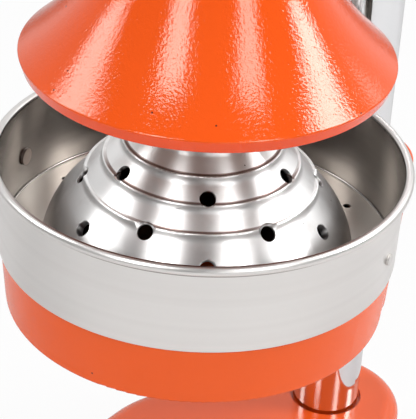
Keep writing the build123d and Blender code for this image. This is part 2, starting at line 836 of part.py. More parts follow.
def tooth_flank():
    """Angle and radius along one side of a pinion tooth, from its base to its tip."""
    base_radius = pitch_radius * cos(radians(pressure_angle))
    half_at_pitch = (tooth_pitch / 2 - tooth_backlash) / (2 * pitch_radius)
    involute_at_pitch = tan(radians(pressure_angle)) - radians(pressure_angle)
    half_at_base = half_at_pitch + involute_at_pitch
    flank = []
    samples = 5
    for index in range(samples):
        radius = base_radius + (tip_radius - base_radius) * index / (samples - 1)
        roll = sqrt((radius / base_radius)**2 - 1)
        involute = roll - acos(base_radius / radius)
        flank.append((half_at_base - involute, radius))
    return half_at_base, flank


def make_pinion_gear():
    root_radius = pitch_radius - tooth_dedendum
    half_at_base, flank = tooth_flank()
    points = []
    for index in range(pinion_teeth):
        middle = pi + 2 * pi * index / pinion_teeth
        side = [(middle - half_at_base, root_radius)]
        side += [(middle - half, radius) for half, radius in flank]
        side += [(middle + half, radius) for half, radius in reversed(flank)]
        side += [(middle + half_at_base, root_radius)]
        points += [(radius * cos(turn), radius * sin(turn)) for turn, radius in side]
    wheel = extrude(Plane.YZ * outline(*points), gear_half, both=True)
    wheel -= lying(shaft_radius + close_clearance, -gear_width, gear_width)
    wheel -= key_block(gear_width, close_clearance)
    return Pos(0, pinion_y, pinion_z) * wheel


def key_block(length, clearance):
    """Key, or with a clearance its slot, on top of the shaft and centred on the gear."""
    half = key_width / 2 + clearance
    heights = (shaft_radius - key_height / 2 - clearance, shaft_radius + key_height / 2 + clearance)
    return block((-length / 2, length / 2), (-half, half), heights)


def make_pinion_key():
    return Pos(0, pinion_y, pinion_z) * key_block(key_length, 0.0)


def make_pinion_shaft():
    shaft = lying(shaft_radius, shaft_left, shaft_right)
    shaft = chamfer(shaft.faces().sort_by(Axis.X)[0].edges(), shaft_chamfer)
    shaft += lying(hub_stud_radius, shaft_right, lever_hub_right + hub_stud_length)
    groove = lying(shaft_radius + cut_over, clip_left - close_clearance, washer_left)
    shaft -= groove - lying(clip_groove_radius, clip_left - cut_over, washer_left + cut_over)
    shaft -= key_block(key_length + 2 * close_clearance, close_clearance)
    return Pos(0, pinion_y, pinion_z) * shaft


def make_shaft_washer():
    washer = lying(shaft_washer_radius, washer_left, washer_right)
    washer -= lying(shaft_radius + loose_clearance, washer_left - cut_over, washer_right + cut_over)
    return Pos(0, pinion_y, pinion_z) * washer


def make_shaft_clip():
    clip = lying(clip_radius, clip_left, washer_left)
    clip -= lying(clip_groove_radius + close_clearance, clip_left - cut_over, washer_left + cut_over)
    half = clip_opening / 2
    clip -= block((clip_left - cut_over, washer_left + cut_over), (-half, half), (-clip_radius - cut_over, 0))
    return Pos(0, pinion_y, pinion_z) * clip


def make_lever_hub():
    half = lever_hub_width / 2
    hub = lying(lever_hub_radius, -half, half)
    hub = fillet(hub.edges().filter_by(GeomType.CIRCLE), lever_hub_edge)
    hub += upright(lever_boss_radius, 0, lever_boss_height)
    hub -= lying(shaft_radius + close_clearance, -half - cut_over, half + cut_over)
    arm_hole = lever_arm_radius + close_clearance
    hub -= upright(arm_hole, lever_arm_start, lever_boss_height + cut_over)
    pin_hole = lever_pin_radius + close_clearance
    hub -= lying(pin_hole, -lever_boss_radius - cut_over, lever_boss_radius + cut_over, z=lever_pin_height)
    hub -= upright(set_screw_radius + close_clearance, -lever_hub_radius - cut_over, 0)
    return on_lever(hub)


def make_lever_arm():
    arm = upright(lever_arm_radius, lever_arm_start, lever_arm_end)
    pin_hole = lever_pin_radius + close_clearance
    arm -= lying(pin_hole, -lever_arm_radius - cut_over, lever_arm_radius + cut_over, z=lever_pin_height)
    return on_lever(arm)


def make_lever_pin():
    return on_lever(lying(lever_pin_radius, -lever_boss_radius, lever_boss_radius, z=lever_pin_height))


def make_lever_set_screw():
    screw = Rot(180, 0, 0) * set_screw(set_screw_length)
    return on_lever(Pos(0, 0, -shaft_radius - close_clearance) * screw)


def make_lever_grip():
    middle = (grip_start + grip_end) / 2
    swell = ThreePointArc((grip_end_radius, grip_start), (grip_swell_radius, middle), (grip_end_radius, grip_end))
    core = Polyline((grip_end_radius, grip_end), (0, grip_end), (0, grip_start), (grip_end_radius, grip_start))
    section = rounded(make_face([swell, core]), [(grip_end_radius, grip_end)], grip_edge)
    grip = turned(section)
    grip -= upright(lever_arm_radius + close_clearance, grip_start - cut_over, lever_arm_end + close_clearance)
    return on_lever(grip)


def make_grip_ferrule():
    ferrule = upright(ferrule_radius, grip_start - ferrule_length, grip_start)
    ferrule = chamfer(ferrule.faces().sort_by(Axis.Z)[0].edges(), ferrule_chamfer)
    hole = lever_arm_radius + close_clearance
    ferrule -= upright(hole, grip_start - ferrule_length - cut_over, grip_start + cut_over)
    return on_lever(ferrule)


def make_hub_washer():
    left = lever_hub_right
    right = left + hub_washer_thickness
    washer = lying(hub_washer_radius, left, right)
    washer -= lying(hub_stud_radius + loose_clearance, left - cut_over, right + cut_over)
    return Pos(0, pinion_y, pinion_z) * washer


def make_hub_nut():
    left = lever_hub_right + hub_washer_thickness
    nut = hexagon(hub_nut_flats, 0, hub_nut_height)
    nut -= upright(hub_stud_radius + thread_clearance, -cut_over, hub_nut_height + cut_over)
    return Pos(left, pinion_y, pinion_z) * Rot(0, 90, 0) * nut


nodes = {
    "base_casting": make_base(),
    "rubber_feet": make_feet(),
    "foot_screws": make_foot_screws(),
    "column": make_column(),
    "column_bolt": make_column_bolt(),
    "column_washer": make_column_washer(),
    "column_cap": make_column_cap(),
    "bowl_casting": make_bowl_casting(),
    "bowl_grub_screws": make_grub_screws(hub_low, hub_top),
    "steel_bowl": make_steel_bowl(),
    "bowl_rivets": make_bowl_rivets(),
    "press_cone": make_press_cone(),
    "juice_spout": make_juice_spout(),
    "spout_gasket": make_spout_gasket(),
    "head_casting": make_head_casting(),
    "head_grub_screws": make_grub_screws(head_hub_low, head_hub_top),
    "gear_cover": make_gear_cover(),
    "gear_cover_screws": make_gear_cover_screws(),
    "lower_guide_bush": make_guide_bush(head_bottom, head_bottom + lower_bush_length),
    "upper_guide_bush": make_guide_bush(head_top - upper_bush_length, head_top),
    "left_shaft_bush": make_shaft_bush((left_flange_face, cover_face), (cover_face, -cavity_half)),
    "right_shaft_bush": make_shaft_bush((drum_half_width, right_flange_face), (cavity_half, drum_half_width)),
    "pinion_gear": make_pinion_gear(),
    "pinion_shaft": make_pinion_shaft(),
    "pinion_key": make_pinion_key(),
    "shaft_washer": make_shaft_washer(),
    "shaft_clip": make_shaft_clip(),
    "lever_hub": make_lever_hub(),
    "lever_arm": make_lever_arm(),
    "lever_pin": make_lever_pin(),
    "lever_grip": make_lever_grip(),
    "grip_ferrule": make_grip_ferrule(),
    "lever_set_screw": make_lever_set_screw(),
    "hub_washer": make_hub_washer(),
    "hub_nut": make_hub_nut(),
    "ram_rack": make_ram_rack(),
    "press_bell": make_press_bell(),
    "bell_washer": make_bell_washer(),
    "bell_nut": make_bell_nut(),
    "stop_collar": make_stop_collar(),
    "stop_collar_screw": make_stop_collar_screw(),
}

os.makedirs("parts", exist_ok=True)
for name, solid in nodes.items():
    export_step(solid, f"parts/{name}.step")
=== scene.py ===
# The looks of a lever citrus press: paint, steel, aluminium, rubber, studio light and camera, in metres.

import json
from math import acos, cos, pi, radians, sin

import bpy
from mathutils import Matrix, Vector


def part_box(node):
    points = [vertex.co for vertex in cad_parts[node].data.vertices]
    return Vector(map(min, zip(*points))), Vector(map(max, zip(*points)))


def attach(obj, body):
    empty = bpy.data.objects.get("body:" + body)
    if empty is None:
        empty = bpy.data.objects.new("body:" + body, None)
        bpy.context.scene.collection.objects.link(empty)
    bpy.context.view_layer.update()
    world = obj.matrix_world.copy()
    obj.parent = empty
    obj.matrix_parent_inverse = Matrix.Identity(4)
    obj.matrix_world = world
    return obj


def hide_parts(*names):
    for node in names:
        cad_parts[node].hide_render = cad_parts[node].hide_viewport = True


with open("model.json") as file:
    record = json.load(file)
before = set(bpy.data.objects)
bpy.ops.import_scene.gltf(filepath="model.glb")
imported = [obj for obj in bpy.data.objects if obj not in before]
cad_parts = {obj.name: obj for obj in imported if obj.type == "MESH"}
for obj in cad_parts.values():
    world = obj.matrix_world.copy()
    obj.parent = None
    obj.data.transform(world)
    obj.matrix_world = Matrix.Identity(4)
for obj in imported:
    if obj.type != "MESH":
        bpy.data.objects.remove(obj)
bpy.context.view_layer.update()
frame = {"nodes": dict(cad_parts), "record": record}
nodes = frame["nodes"]

# Camera, as found from the rims in the photograph
image_height = 419
focal_length_in_pixels = 1803.4
sensor_side = 36.0
camera_place = Vector((0.4004, -0.58515, 0.6169))
camera_heading = radians(35.777)
camera_tilt_down = radians(31.187)
camera_roll = radians(3.605)

# Studio: the pale sweep behind the press fades into the room along the camera's heading
floor_half_side = 6.0
floor_grey = 0.64
floor_white_for_camera = 0.93
world_for_camera = 0.945
world_for_light = 0.32
gloss_from_behind = 1.0
gloss_from_the_room = 0.24
sweep_full = -0.75
sweep_end = 0.05
white = (1.0, 1.0, 1.0, 1.0)

# Lamps: name, azimuth and elevation in degrees, distance, width, height, and power in watts
lamp_target_height = 0.28
lamps = (
    ("left_box", -60, 36, 1.5, 0.42, 0.80, 9.0),
    ("right_box", 130, 36, 1.5, 0.40, 0.80, 16.0),
    ("front_left_strip", 5, 39, 1.6, 0.42, 0.95, 13.5),
    ("front_right_strip", 75, 39, 1.6, 0.38, 0.95, 10.0),
    ("low_front_fill", 60, 13, 1.8, 1.00, 0.22, 3.5),
    ("right_back_card", 166, 32, 1.6, 0.60, 0.70, 3.0),
)


def middle(node):
    low, high = (Vector(corner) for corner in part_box(node))
    return (low + high) / 2


press_axis = middle("press_cone")
bowl_low, bowl_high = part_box("steel_bowl")
bell_low, bell_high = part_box("press_bell")

# Press cone: radius and height of its foot, of the top of its dome and of its outer lips
cone_foot = (0.0690, bowl_low.z + 0.0009)
dome_top = (0.0583, bowl_low.z + 0.0228)
first_lip = (0.05140, bowl_low.z + 0.0331)
last_lip = (0.02695, bowl_low.z + 0.0601)
tier_rise = 0.0090
ledge_line = 0.0005

# Painted reflections of the orange bell, on the bead and under the cone's ledges, lie mostly at the front,
# to the right
# The side where the painted reflections of the bell lie
painted_reflection_turn = radians(36.0)
# Brown for specks on the cone, and for painted shade on the bowl casting's inside faces
speck_and_funnel_shade_brown = (0.07, 0.030, 0.018, 1.0)

# Paint: the insides of the bell, out to a radius, have another coat; those of the bowl casting are painted
# dark as painted shade
inside_reach = 0.084
turned_in_limit = -0.004
bare_primer = (0.48, 0.27, 0.20, 1.0)
paint_gloss_tint = (1.0, 0.93, 0.84, 1.0)
paint_grain = (0.10, 0.018, 0.008, 1.0)
paint_blotches = 14.0
paint_dimples = 750.0
paint_wear = 0.05
brim_height = 0.0052
# The bell's downward-facing brim band is painted lighter orange: painted light
brim_painted_light_orange = (0.74, 0.058, 0.0010, 1.0)

# Steel bowl, spun from sheet
sheet = 0.0009
bead_radius = 0.00205
bowl_rim_radius = 0.0889
bowl_foot_radius = 0.0880
bowl_rim_height = bowl_high.z - bead_radius
bowl_floor_height = bowl_low.z + sheet
bowl_opening_radius = 0.0601
bowl_outer_corner = 0.0005
bowl_inner_corner = 0.0012
outer_corner_steps = 6
inner_corner_steps = 8
bead_steps = 40
bowl_turns = 256
smooth_limit = radians(35)
floor_hole_radius = 0.0018
floor_hole_count = 6
floor_hole_circle = 0.0755
floor_hole_turn = radians(32.0)
drill_sides = 32
drill_length = 6 * sheet
seed_side = 0.01
weld_distance = 0.000001

# Most of a noise texture's values lie between these
noise_low = 0.3
noise_high = 0.7


# Small helpers for node trees
def feed(tree, socket, value):
    """Links another node's output to the socket, or sets a plain value on it."""
    if isinstance(value, bpy.types.NodeSocket):
        tree.links.new(value, socket)
    else:
        socket.default_value = value


def add(tree, kind, settings=None, **inputs):
    node = tree.nodes.new(kind)
    for name, value in (settings or {}).items():
        setattr(node, name, value)
    for name, value in inputs.items():
        feed(tree, node.inputs[name.replace("_", " ")], value)
    return node


def compute(tree, operation, first, second=0.0):
    node = add(tree, "ShaderNodeMath", {"operation": operation})
    feed(tree, node.inputs[0], first)
    feed(tree, node.inputs[1], second)
    return node.outputs[0]


def both(tree, first, second):
    """A mask of what lies in two masks."""
    return compute(tree, "MULTIPLY", first, second)


def vectors(tree, operation, first, second):
    node = add(tree, "ShaderNodeVectorMath", {"operation": operation})
    feed(tree, node.inputs[0], first)
    feed(tree, node.inputs[1], second)
    return node.outputs


def ramp(tree, value, from_low, from_high, to_low, to_high):
    limits = {"From_Min": from_low, "From_Max": from_high, "To_Min": to_low, "To_Max": to_high}
    return add(tree, "ShaderNodeMapRange", Value=value, **limits).outputs["Result"]


def blend_colours(tree, mask, first, second):
    node = add(tree, "ShaderNodeMix", {"data_type": "RGBA"})
    for index, value in ((0, mask), (6, first), (7, second)):
        feed(tree, node.inputs[index], value)
    return node.outputs[2]


def blend_values(tree, mask, first, second):
    node = add(tree, "ShaderNodeMix")
    for index, value in ((0, mask), (2, first), (3, second)):
        feed(tree, node.inputs[index], value)
    return node.outputs[0]


def new_group(name, inputs, outputs):
    """A node group with a Vector input, named number inputs with their defaults, and number outputs."""
    group = bpy.data.node_groups.new(name, "ShaderNodeTree")
    group.interface.new_socket("Vector", in_out="INPUT", socket_type="NodeSocketVector")
    for socket_name, value in inputs.items():
        socket = group.interface.new_socket(socket_name, in_out="INPUT", socket_type="NodeSocketFloat")
        socket.default_value = value
    for socket_name in outputs:
        group.interface.new_socket(socket_name, in_out="OUTPUT", socket_type="NodeSocketFloat")
    entry = group.nodes.new("NodeGroupInput")
    end = group.nodes.new("NodeGroupOutput")
    return group, entry.outputs, end.inputs


def place_group(tree, group, **inputs):
    return add(tree, "ShaderNodeGroup", {"node_tree": group}, **inputs).outputs


# Shared surface effects
def orange_peel_group():
    """The soft dimples of stoved powder paint, wide ones with finer ones on top."""
    finer_by = 2.7
    finer_height = 0.35
    group, given, out = new_group("orange peel", {"Dimples": 420.0}, ["Height"])
    wide = add(group, "ShaderNodeTexNoise", Vector=given["Vector"], Scale=given["Dimples"], Detail=1.0)
    finer_scale = compute(group, "MULTIPLY", given["Dimples"], finer_by)
    fine = add(group, "ShaderNodeTexNoise", Vector=given["Vector"], Scale=finer_scale, Detail=0.0)
    faint = compute(group, "MULTIPLY", fine.outputs["Fac"], finer_height)
    height = compute(group, "ADD", wide.outputs["Fac"], faint)
    group.links.new(height, out["Height"])
    return group


def specks_group():
    """A few dark grains on a surface: one in many cells of a scattered pattern."""
    group, given, out = new_group("specks", {"Cells": 90.0, "Size": 0.042, "Share": 0.12}, ["Mask"])
    cells = add(group, "ShaderNodeTexVoronoi", Vector=given["Vector"], Scale=given["Cells"])
    inside = compute(group, "LESS_THAN", cells.outputs["Distance"], given["Size"])
    chance = add(group, "ShaderNodeSeparateColor", Color=cells.outputs["Color"]).outputs[0]
    chosen = compute(group, "LESS_THAN", chance, given["Share"])
    group.links.new(both(group, inside, chosen), out["Mask"])
    return group


def round_axis_group():
    """Distance from an upright axis through the origin, height, and 1 on the side of the painted
    reflections to -1 behind.
    """
    group, given, out = new_group("round the axis", {}, ["Radius", "Height", "Painted Reflection Side"])
    parts = add(group, "ShaderNodeSeparateXYZ", Vector=given["Vector"]).outputs
    x_square = compute(group, "POWER", parts[0], 2.0)
    y_square = compute(group, "POWER", parts[1], 2.0)
    radius = compute(group, "SQRT", compute(group, "ADD", x_square, y_square))
    across = compute(group, "MULTIPLY", parts[0], sin(painted_reflection_turn))
    along = compute(group, "MULTIPLY", parts[1], -cos(painted_reflection_turn))
    share = compute(group, "DIVIDE", compute(group, "ADD", across, along), radius)
    group.links.new(radius, out["Radius"])
    group.links.new(parts[2], out["Height"])
    group.links.new(share, out["Painted Reflection Side"])
    return group


def turned_rings_group():
    """Fine rings round an upright axis through the origin, as a lathe or spinning tool leaves them."""
    broader_by = 0.12
    group, given, out = new_group("turned rings", {"Rings": 1500.0}, ["Height", "Broad"])
    spot = place_group(group, round_axis, Vector=given["Vector"])
    across = add(group, "ShaderNodeCombineXYZ", X=spot["Radius"], Y=spot["Height"], Z=0.0).outputs[0]
    lines = add(group, "ShaderNodeTexNoise", Vector=across, Scale=given["Rings"], Detail=2.0)
    broad_scale = compute(group, "MULTIPLY", given["Rings"], broader_by)
    broad = add(group, "ShaderNodeTexNoise", Vector=across, Scale=broad_scale, Detail=1.0)
    group.links.new(lines.outputs["Fac"], out["Height"])
    group.links.new(broad.outputs["Fac"], out["Broad"])
    return group


def handling_group():
    """Soft blotches left by wiping and fingers, to vary how a surface shines."""
    group, given, out = new_group("handling", {"Blotches": 28.0}, ["Value"])
    cloud = add(group, "ShaderNodeTexNoise", Vector=given["Vector"], Scale=given["Blotches"], Detail=4.0)
    group.links.new(cloud.outputs["Fac"], out["Value"])
    return group


orange_peel = orange_peel_group()
specks = specks_group()
round_axis = round_axis_group()
turned_rings = turned_rings_group()
handling = handling_group()


# Finishes
def new_material(name, metallic=0.0):
    material = bpy.data.materials.new(name)
    material.use_nodes = True
    tree = material.node_tree
    shader = tree.nodes["Principled BSDF"]
    shader.inputs["Metallic"].default_value = metallic
    place = tree.nodes.new("ShaderNodeTexCoord").outputs["Object"]
    return material, tree, shader, place


def centred(tree, place, axis):
    return add(tree, "ShaderNodeMapping", Vector=place, Location=(-axis.x, -axis.y, 0.0)).outputs["Vector"]


def set_colour(tree, shader, colour):
    feed(tree, shader.inputs["Base Color"], colour)


def noisy(tree, noise, low, high):
    """A value from low to high over the usual range of a noise."""
    return ramp(tree, noise, noise_low, noise_high, low, high)


def set_roughness(tree, shader, roughness):
    tree.links.new(roughness, shader.inputs["Roughness"])


def set_bump(tree, shader, height, strength, depth):
    bump = add(tree, "ShaderNodeBump", Strength=strength, Distance=depth, Height=height)
    tree.links.new(bump.outputs["Normal"], shader.inputs["Normal"])


def turned_grain(tree, shader, strength):
    """Stretches reflections across the fine rings that turning leaves round an upright axis."""
    quarter_turn = 0.25
    shader.inputs["Anisotropic"].default_value = strength
    shader.inputs["Anisotropic Rotation"].default_value = quarter_turn
    tangent = add(tree, "ShaderNodeTangent", {"direction_type": "RADIAL", "axis": "Z"})
    tree.links.new(tangent.outputs[0], shader.inputs["Tangent"])


def painted(
    name,
    shades,
    roughness,
    refraction,
    dimple_depth,
    grain_share,
    inside_top,
    inside_colour,
    painted_light_brim_top=0.0,
):
    """Stoved powder paint, painted lighter on a brim as painted light, with another colour on inside faces
    turned to the press axis: a coat in the bell, painted shade in the bowl casting.
    """
    material, tree, shader, place = new_material(name)
    blotches = place_group(tree, handling, Vector=place, Blotches=paint_blotches)["Value"]
    shade = blend_colours(tree, blotches, *shades)
    grains = place_group(tree, specks, Vector=place, Share=grain_share)["Mask"]
    colour = blend_colours(tree, grains, shade, paint_grain)
    about_axis = centred(tree, place, press_axis)
    spot = place_group(tree, round_axis, Vector=about_axis)
    level = vectors(tree, "MULTIPLY", about_axis, (1.0, 1.0, 0.0))["Vector"]
    normal = tree.nodes.new("ShaderNodeNewGeometry").outputs["Normal"]
    outwards = vectors(tree, "DOT_PRODUCT", level, normal)["Value"]
    turned_in = compute(tree, "LESS_THAN", outwards, turned_in_limit)
    near_axis = compute(tree, "LESS_THAN", spot["Radius"], inside_reach)
    painted_light_on_brim = compute(tree, "LESS_THAN", spot["Height"], painted_light_brim_top)
    colour = blend_colours(tree, painted_light_on_brim, colour, brim_painted_light_orange)
    low_enough = compute(tree, "LESS_THAN", spot["Height"], inside_top)
    inside = both(tree, turned_in, both(tree, near_axis, low_enough))
    set_colour(tree, shader, blend_colours(tree, inside, colour, inside_colour))
    set_roughness(tree, shader, noisy(tree, blotches, roughness, roughness + paint_wear))
    shader.inputs["IOR"].default_value = refraction
    shader.inputs["Specular Tint"].default_value = paint_gloss_tint
    dimples = place_group(tree, orange_peel, Vector=place, Dimples=paint_dimples)["Height"]
    set_bump(tree, shader, dimples, 1.0, dimple_depth)
    return material


def orange_paint():
    """Powder coat of the bowl casting and the head, with less gloss than the bell's."""
    return painted(
        "orange_paint",
        shades=((0.66, 0.075, 0.0040, 1.0), (0.72, 0.086, 0.0055, 1.0)),
        roughness=0.22,
        refraction=1.40,
        dimple_depth=0.00008,
        grain_share=0.10,
        inside_top=bowl_high.z,
        # The bowl casting's inside is painted dark brown: painted shade, seen through the floor holes
        inside_colour=speck_and_funnel_shade_brown,
    )


def bell_paint():
    """Gloss coat of the bell, with marked orange peel and more grains in it."""
    return painted(
        "bell_paint",
        shades=((0.59, 0.061, 0.0028, 1.0), (0.65, 0.071, 0.0040, 1.0)),
        roughness=0.045,
        refraction=1.50,
        dimple_depth=0.00009,
        grain_share=0.35,
        inside_top=bell_high.z,
        inside_colour=bare_primer,
        # The brim band is painted lighter: painted light
        painted_light_brim_top=bell_low.z + brim_height,
    )


def base_paint():
    """Thick gloss coat of the base, smoother than the bell's."""
    return painted(
        "base_paint",
        shades=((0.62, 0.070, 0.0040, 1.0), (0.68, 0.080, 0.0055, 1.0)),
        roughness=0.12,
        refraction=1.65,
        dimple_depth=0.00005,
        grain_share=0.10,
        inside_top=0.0,
        inside_colour=bare_primer,
    )


def column_chrome():
    material, tree, shader, place = new_material("column_chrome", metallic=1.0)
    wiped = place_group(tree, handling, Vector=place, Blotches=35.0)["Value"]
    set_colour(tree, shader, (0.72, 0.72, 0.73, 1.0))
    set_roughness(tree, shader, noisy(tree, wiped, 0.04, 0.10))
    return material


def bowl_steel():
    """Satin band; polished wall inside, painted darker as painted shade; rougher floor, painted paler as
    painted light; a painted shadow line under the bead and a painted reflection of the bell on the bead's
    inner front.
    """
    satin_shades = ((0.66, 0.638, 0.622, 1.0), (0.72, 0.702, 0.686, 1.0))
    # The wall inside is painted darker than the band: painted shade
    wall_painted_shade_tones = ((0.215, 0.197, 0.185, 1.0), (0.26, 0.240, 0.226, 1.0))
    # The floor is painted paler: painted light
    floor_painted_light = (0.82, 0.775, 0.715, 1.0)
    # A thin dark line on the band under the bead: painted shadow
    bead_painted_shadow = (0.10, 0.07, 0.055, 1.0)
    # A brown line on the bead's inner side at the front: painted reflection of the bell
    bead_painted_reflection = (0.16, 0.050, 0.030, 1.0)
    floor_top = bowl_floor_height + bowl_inner_corner / 12
    bead_shadow_height = bowl_rim_height - 1.6 * bead_radius
    bead_shadow_core = 0.0002
    bead_shadow_edge = 0.0005
    bead_shadow_strength = 0.7
    bead_reflection_height = bowl_rim_height + 0.5 * bead_radius
    bead_reflection_reach = bowl_rim_radius - sheet + 1.1 * bead_radius
    reflection_begins = 0.35
    reflection_full = 0.85

    material, tree, shader, place = new_material("bowl_steel", metallic=1.0)
    about_axis = centred(tree, place, press_axis)
    rings = place_group(tree, turned_rings, Vector=about_axis, Rings=2200.0)
    wiped = place_group(tree, handling, Vector=place, Blotches=30.0)["Value"]
    spot = place_group(tree, round_axis, Vector=about_axis)
    sheet_middle = ramp(
        tree,
        spot["Height"],
        bowl_low.z,
        bowl_rim_height,
        bowl_foot_radius - sheet / 2,
        bowl_rim_radius - sheet / 2,
    )
    outside = compute(tree, "GREATER_THAN", spot["Radius"], sheet_middle)
    on_floor = compute(tree, "LESS_THAN", spot["Height"], floor_top)
    floor_mask = both(tree, on_floor, compute(tree, "SUBTRACT", 1.0, outside))
    off_bead_shadow = compute(tree, "ABSOLUTE", compute(tree, "SUBTRACT", bead_shadow_height, spot["Height"]))
    bead_shadow = both(tree, ramp(tree, off_bead_shadow, bead_shadow_core, bead_shadow_edge, bead_shadow_strength, 0.0), outside)
    on_bead = compute(tree, "GREATER_THAN", spot["Height"], bead_reflection_height)
    inner_bead = compute(tree, "LESS_THAN", spot["Radius"], bead_reflection_reach)
    at_front = ramp(tree, spot["Painted Reflection Side"], reflection_begins, reflection_full, 0.0, 1.0)
    bead_reflection = both(tree, both(tree, on_bead, inner_bead), at_front)
    satin = blend_colours(tree, rings["Broad"], *satin_shades)
    wall_painted_shade = blend_colours(tree, rings["Broad"], *wall_painted_shade_tones)
    colour = blend_colours(tree, outside, wall_painted_shade, satin)
    colour = blend_colours(tree, floor_mask, colour, floor_painted_light)
    colour = blend_colours(tree, bead_shadow, colour, bead_painted_shadow)
    set_colour(tree, shader, blend_colours(tree, bead_reflection, colour, bead_painted_reflection))
    fine = noisy(tree, wiped, 0.20, 0.26)
    dull = noisy(tree, wiped, 0.30, 0.38)
    unpolished = compute(tree, "MAXIMUM", outside, floor_mask)
    set_roughness(tree, shader, blend_values(tree, unpolished, fine, dull))
    set_bump(tree, shader, rings["Height"], 0.15, 0.00002)
    turned_grain(tree, shader, 0.4)
    return material


def rivet_steel():
    """Rivet heads of the bowl, bright on the band and painted darker inside as painted shade."""
    inside_painted_shade = (0.34, 0.285, 0.26, 1.0)
    bright_shade = (0.66, 0.64, 0.62, 1.0)

    material, tree, shader, place = new_material("rivet_steel", metallic=1.0)
    spot = place_group(tree, round_axis, Vector=centred(tree, place, press_axis))
    outside = compute(tree, "GREATER_THAN", spot["Radius"], bowl_rim_radius - sheet / 2)
    worn = place_group(tree, handling, Vector=place, Blotches=120.0)["Value"]
    set_colour(tree, shader, blend_colours(tree, outside, inside_painted_shade, bright_shade))
    set_roughness(tree, shader, noisy(tree, worn, 0.34, 0.46))
    return material


def turned_aluminium():
    """Turned face of the cone; the drilled holes and the hollow behind it are painted near black as painted
    shade, with painted reflections under the ledges.
    """
    pale_shades = ((0.93, 0.925, 0.92, 1.0), (0.97, 0.965, 0.96, 1.0))
    worn_shade = (0.56, 0.525, 0.505, 1.0)
    foot_painted_shade = (0.42, 0.385, 0.36, 1.0)
    ledge_painted_reflection = (0.16, 0.070, 0.050, 1.0)
    hollow_painted_shade = (0.02, 0.013, 0.010, 1.0)
    worn_begins = 0.50
    worn_full = 0.74
    worn_strength = 0.40
    foot_shade_strength = 0.75
    ledge_reflection_strength = 0.85
    ledge_depth = (0.0004, 0.0009)
    hollow_depth = (0.0034, 0.0050)
    reflection_end_low = 0.55
    reflection_end_high = -0.6
    reflection_fade = 0.4
    dome_fade = 0.004
    dome_roughness = 0.30

    material, tree, shader, place = new_material("turned_aluminium", metallic=1.0)
    about_axis = centred(tree, place, press_axis)
    rings = place_group(tree, turned_rings, Vector=about_axis, Rings=1700.0)
    spot = place_group(tree, round_axis, Vector=about_axis)
    height = spot["Height"]

    # Bare metal, mottled and with a few grains, and painted darker down the dome to its foot as painted
    # shade
    colour = blend_colours(tree, rings["Broad"], *pale_shades)
    worn = place_group(tree, handling, Vector=place, Blotches=75.0)["Value"]
    mottled = ramp(tree, worn, worn_begins, worn_full, 0.0, worn_strength)
    colour = blend_colours(tree, mottled, colour, worn_shade)
    grains = place_group(tree, specks, Vector=place, Cells=170.0, Size=0.05, Share=0.14)["Mask"]
    colour = blend_colours(tree, grains, colour, speck_and_funnel_shade_brown)
    foot_shaded = ramp(tree, height, cone_foot[1], dome_top[1], foot_shade_strength, 0.0)
    colour = blend_colours(tree, foot_shaded, colour, foot_painted_shade)

    # Depth behind the line of the lips and the dome
    tread = ramp(tree, height, first_lip[1], last_lip[1], first_lip[0], last_lip[0])
    tread.node.clamp = False
    dome = ramp(tree, height, cone_foot[1], dome_top[1], cone_foot[0], dome_top[0])
    depth = compute(tree, "SUBTRACT", compute(tree, "MINIMUM", tread, dome), spot["Radius"])

    # Painted reflections of the orange bell: brown lines under the ledges, reaching further round on the
    # upper ones
    climbed = compute(tree, "SUBTRACT", height, first_lip[1])
    off_ledge = compute(tree, "PINGPONG", climbed, tier_rise / 2)
    near_ledge = ramp(tree, off_ledge, ledge_line / 2, ledge_line, ledge_reflection_strength, 0.0)
    under_face = both(tree, near_ledge, ramp(tree, depth, *ledge_depth, 0.0, 1.0))
    above_dome = compute(tree, "GREATER_THAN", climbed, -tier_rise / 2)
    reflection_end = ramp(tree, climbed, 0.0, 2 * tier_rise, reflection_end_low, reflection_end_high)
    past_end = compute(tree, "SUBTRACT", spot["Painted Reflection Side"], reflection_end)
    at_front = ramp(tree, past_end, 0.0, reflection_fade, 0.0, 1.0)
    ledge_reflection = both(tree, under_face, both(tree, above_dome, at_front))
    colour = blend_colours(tree, ledge_reflection, colour, ledge_painted_reflection)

    # Holes and hollow, painted near black as painted shade
    hollow = ramp(tree, depth, *hollow_depth, 0.0, 1.0)
    below_cap = compute(tree, "LESS_THAN", height, last_lip[1] - ledge_line)
    hollow_shaded = both(tree, hollow, below_cap)
    set_colour(tree, shader, blend_colours(tree, hollow_shaded, colour, hollow_painted_shade))

    grain = noisy(tree, rings["Broad"], 0.38, 0.44)
    off_dome = ramp(tree, height, dome_top[1] - dome_fade, dome_top[1] + dome_fade, 0.0, 1.0)
    set_roughness(tree, shader, blend_values(tree, off_dome, dome_roughness, grain))
    set_bump(tree, shader, rings["Height"], 0.3, 0.00003)
    turned_grain(tree, shader, 0.86)
    return material


def handled(name, blotches, shades, roughness, metallic=0.0):
    """A finish whose colour and roughness vary together with handling."""
    material, tree, shader, place = new_material(name, metallic)
    worn = place_group(tree, handling, Vector=place, Blotches=blotches)["Value"]
    set_colour(tree, shader, blend_colours(tree, worn, *shades))
    set_roughness(tree, shader, noisy(tree, worn, *roughness))
    return material, tree, shader, place


def machined_steel():
    """Oiled steel with fine upright lines."""
    shades = ((0.50, 0.49, 0.47, 1.0), (0.66, 0.65, 0.64, 1.0))
    drawn_out = (1.0, 1.0, 0.06)
    material, tree, shader, place = handled("machined_steel", 60.0, shades, (0.20, 0.36), metallic=1.0)
    drawn = add(tree, "ShaderNodeMapping", Vector=place, Scale=drawn_out).outputs["Vector"]
    lines = add(tree, "ShaderNodeTexNoise", Vector=drawn, Scale=1800.0, Detail=2.0)
    set_bump(tree, shader, lines.outputs["Fac"], 0.25, 0.00004)
    return material


